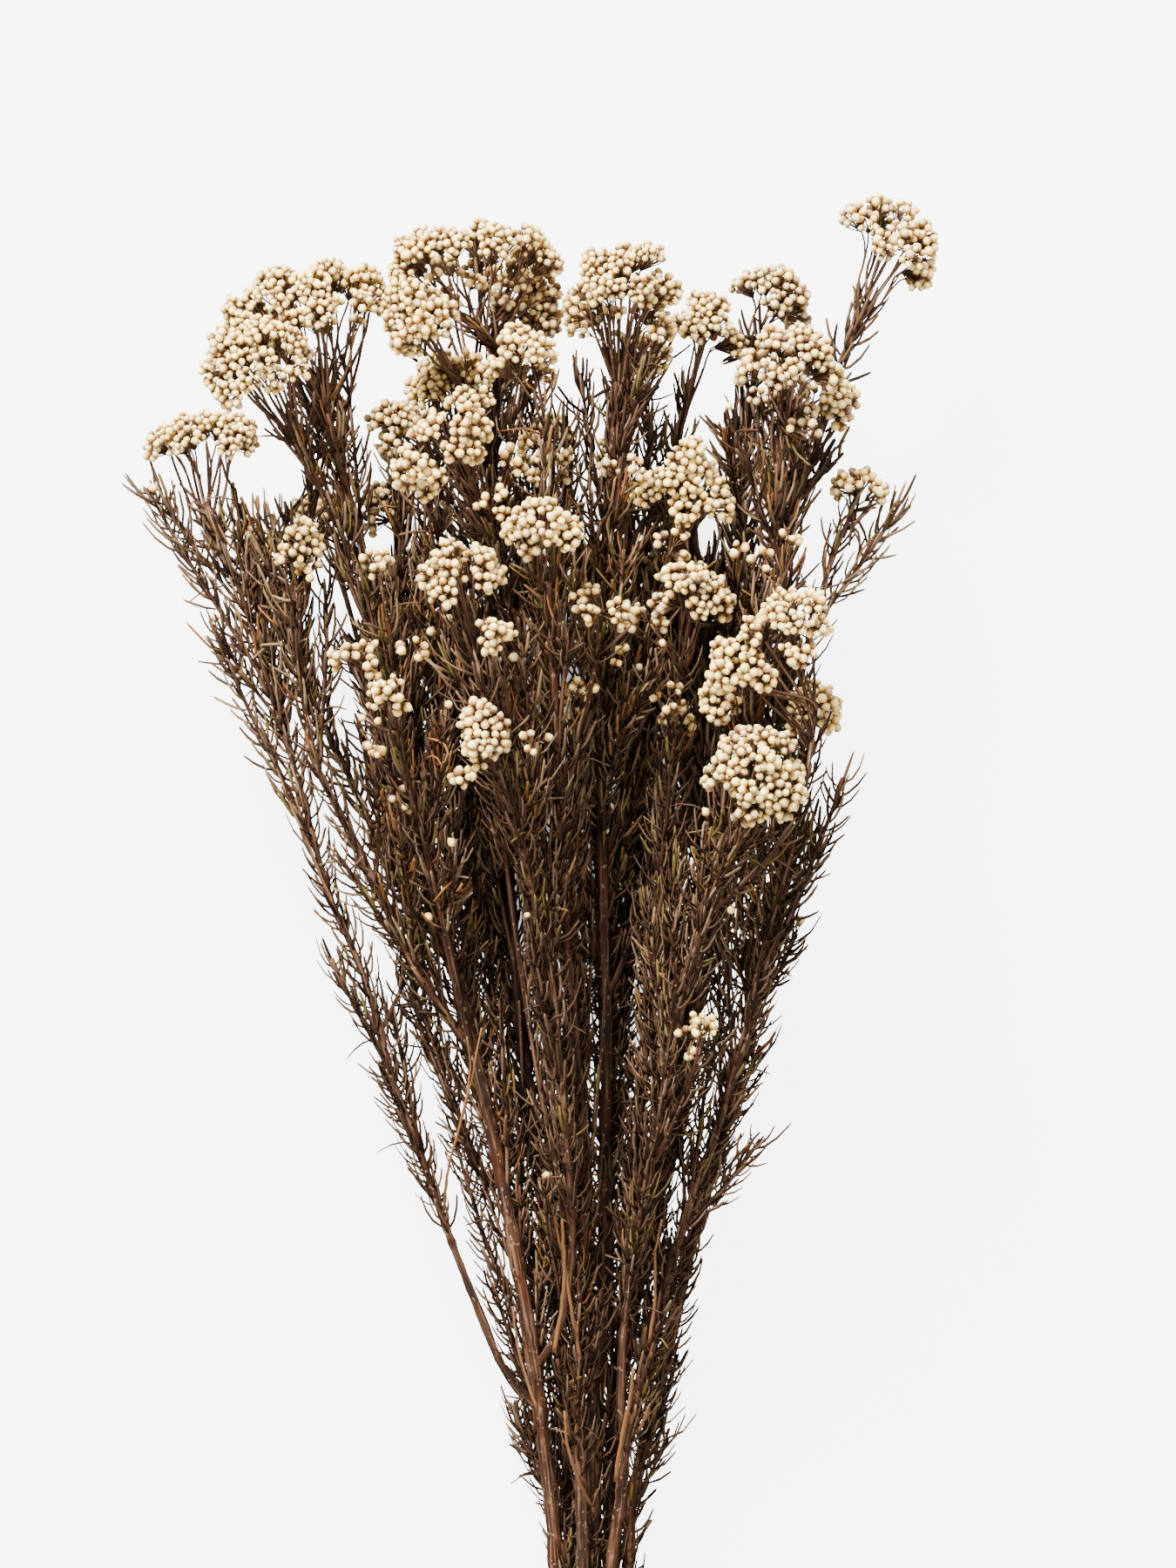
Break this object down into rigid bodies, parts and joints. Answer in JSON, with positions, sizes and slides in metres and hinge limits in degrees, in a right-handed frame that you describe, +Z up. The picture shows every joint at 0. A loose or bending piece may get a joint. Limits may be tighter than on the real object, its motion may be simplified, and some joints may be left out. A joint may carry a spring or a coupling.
{
  "type": "dried rice flower bunch",
  "caption": "Bunch of dried rice flower lying flat: brown stems set with needle leaves, topped by domed heads of cream buds.",
  "frame": {"origin": "middle of the lying bunch's bounding box, on the surface that it lies on", "axes": "+Y from the cut ends of the stems to the flower heads, +X to the right seen from above, +Z up"},
  "size_m": [0.2775, 0.5424, 0.1371],
  "materials": {
    "leafy_stem": "matte",
    "bud": "matte"
  },
  "bodies": {
    "root": {"flower_head_01": "bud", "flower_head_02": "bud", "flower_head_03": "bud", "flower_head_04": "bud", "flower_head_05": "bud", "flower_head_06": "bud", "flower_head_07": "bud", "flower_head_08": "bud", "flower_head_09": "bud", "flower_head_10": "bud", "flower_head_11": "bud", "flower_head_12": "bud", "flower_head_13": "bud", "flower_head_14": "bud", "flower_head_15": "bud", "flower_head_16": "bud", "flower_head_17": "bud", "flower_head_18": "bud", "flower_head_19": "bud", "flower_head_20": "bud", "flower_head_21": "bud", "flower_head_22": "bud", "flower_head_23": "bud", "flower_head_24": "bud", "flower_head_25": "bud", "flower_head_26": "bud", "flower_head_27": "bud", "flower_head_28": "bud", "flower_head_29": "bud", "flower_head_30": "bud", "flower_head_31": "bud", "flower_head_32": "bud", "flower_head_33": "bud", "flower_head_34": "bud", "flower_head_35": "bud", "flower_head_36": "bud", "flower_head_37": "bud", "flower_head_38": "bud", "flower_head_39": "bud", "flower_head_40": "bud", "flower_head_41": "bud", "flower_head_42": "bud", "flower_head_43": "bud", "flower_head_44": "bud", "flower_head_45": "bud", "flower_head_46": "bud", "flower_head_47": "bud", "flower_head_48": "bud", "flower_head_49": "bud", "flower_head_50": "bud", "flower_head_51": "bud", "flower_head_52": "bud", "stem_left": "leafy_stem", "stem_front": "leafy_stem", "stem_centre": "leafy_stem", "stem_right": "leafy_stem", "stem_far_right": "leafy_stem", "stem_back_left": "leafy_stem", "stem_back_right": "leafy_stem"}
  },
  "joints": []
}
